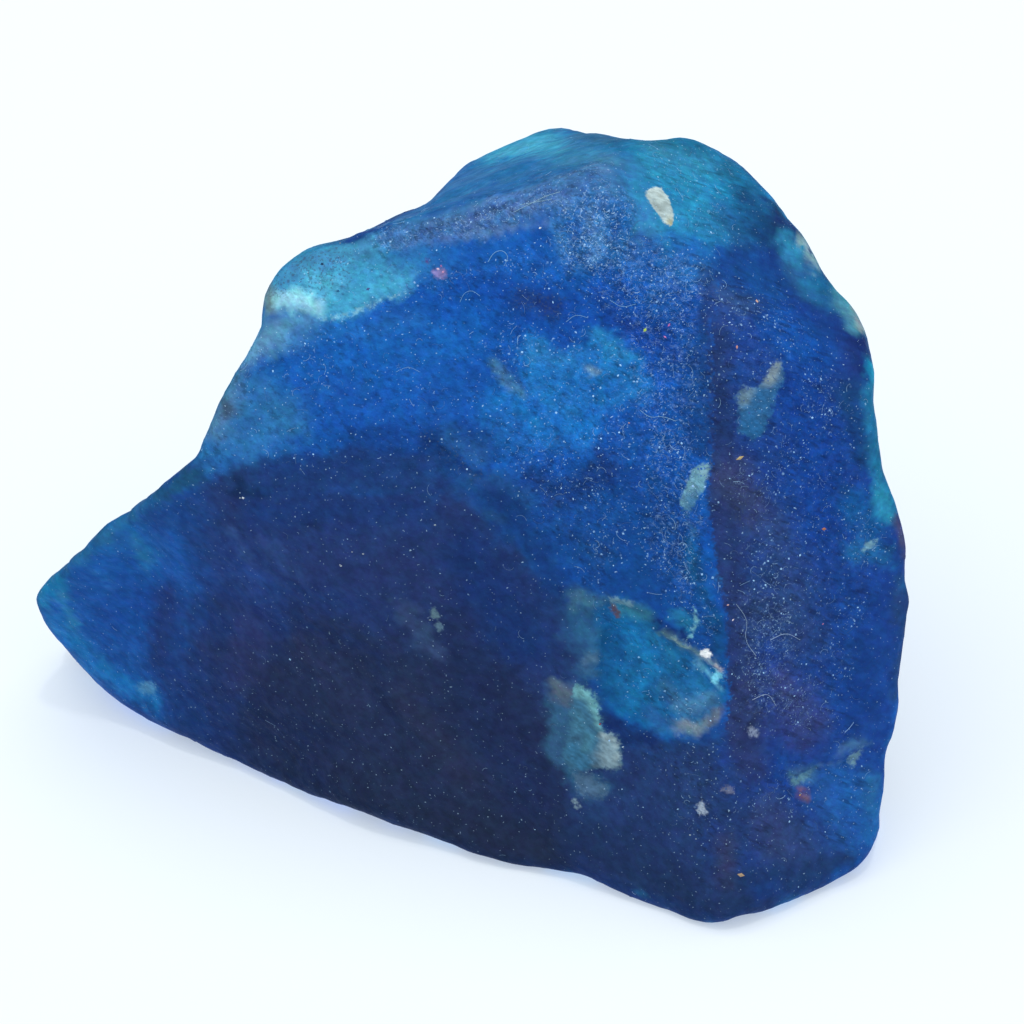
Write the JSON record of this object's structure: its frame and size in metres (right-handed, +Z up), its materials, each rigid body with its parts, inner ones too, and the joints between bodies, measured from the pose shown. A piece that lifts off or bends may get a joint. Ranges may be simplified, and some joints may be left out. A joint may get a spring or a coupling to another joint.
{
  "type": "raw aquamarine",
  "caption": "Rough broken lump of blue stone with a tall front face, a sloping crown and a pointed low lobe; stands on a flat break.",
  "frame": {"origin": "middle of the stone's bounding box, on the surface it stands on", "axes": "+X along the stone's length, away from its pointed lobe; +Y from its tall front face to its back; +Z up"},
  "size_m": [0.0484, 0.0396, 0.0384],
  "materials": {
    "blue_stone": "waxy matt break, ultramarine with turquoise and cream patches and navy shade, dusty"
  },
  "bodies": {
    "root": {"stone": "blue_stone"}
  },
  "joints": []
}
